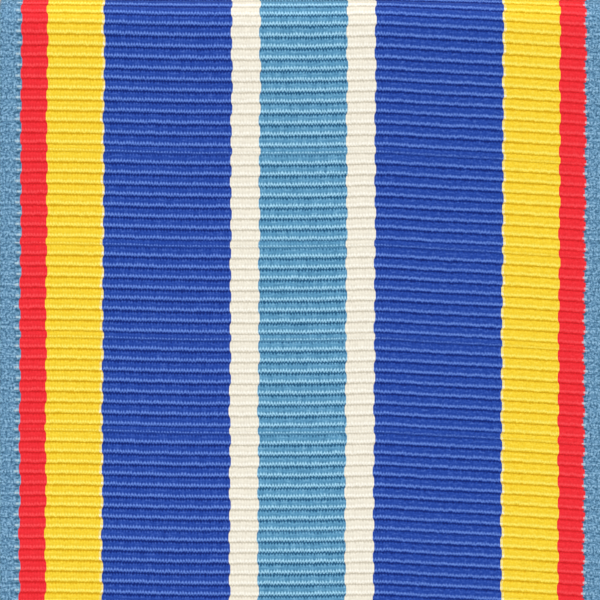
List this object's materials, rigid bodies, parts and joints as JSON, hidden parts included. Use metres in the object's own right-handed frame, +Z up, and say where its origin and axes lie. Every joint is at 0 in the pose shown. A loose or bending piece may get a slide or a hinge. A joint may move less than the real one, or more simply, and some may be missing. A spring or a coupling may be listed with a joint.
{
  "type": "service medal",
  "caption": "Full-size service medal: striped ribbed ribbon looped on a brooch with a safety pin, a wire ring at its tapered foot and a struck round disc.",
  "frame": {"origin": "middle of the brooch plate's back face, level with the pin", "axes": "+Z up with the medal hanging, +Y out of the back towards the garment, +X to the right seen from the front"},
  "size_m": [0.0388, 0.0077, 0.097],
  "materials": {
    "gilt_brass": "gilt, satin polished",
    "pin_steel": "nickel plated",
    "medal_bronze": "oxidised and relieved bronze",
    "ribbon_cloth": "ribbed woven stripes of light blue, red, yellow, royal blue and white",
    "sewing_thread": "twisted thread"
  },
  "bodies": {
    "brooch": {"brooch_frame": "gilt_brass", "hinge_bracket": "gilt_brass", "hinge_rivet": "pin_steel", "catch_base": "gilt_brass"},
    "pin": {"pin_stem": "pin_steel"},
    "catch": {"catch_sleeve": "gilt_brass"},
    "ribbon": {"ribbon": "ribbon_cloth", "tail_seam_thread": "sewing_thread", "left_edge_thread": "sewing_thread", "right_edge_thread": "sewing_thread"},
    "ring": {"suspension_ring": "gilt_brass"},
    "medal": {"planchet_eyelet": "medal_bronze", "planchet": "medal_bronze"}
  },
  "joints": [
    {"name": "pin_hinge", "type": "hinge", "parent": "brooch", "child": "pin", "pos_m": [0.015, 0.0032, 0], "axis": [0, 0, -1], "range_deg": [0, 100]},
    {"name": "catch_turn", "type": "hinge", "parent": "brooch", "child": "catch", "pos_m": [-0.0145, 0.0032, 0], "axis": [-1, 0, 0], "range_deg": [0, 90]},
    {"name": "ribbon_swing", "type": "hinge", "parent": "brooch", "child": "ribbon", "pos_m": [0, -0.0007, -0.0045], "axis": [1, 0, 0], "range_deg": [-80, 60]},
    {"name": "ring_swing", "type": "hinge", "parent": "ribbon", "child": "ring", "pos_m": [0, -0.0007, -0.0518], "axis": [1, 0, 0], "range_deg": [-60, 60]},
    {"name": "medal_swing", "type": "hinge", "parent": "ring", "child": "medal", "pos_m": [0, -0.0007, -0.059], "axis": [1, 0, 0], "range_deg": [-60, 60]}
  ]
}
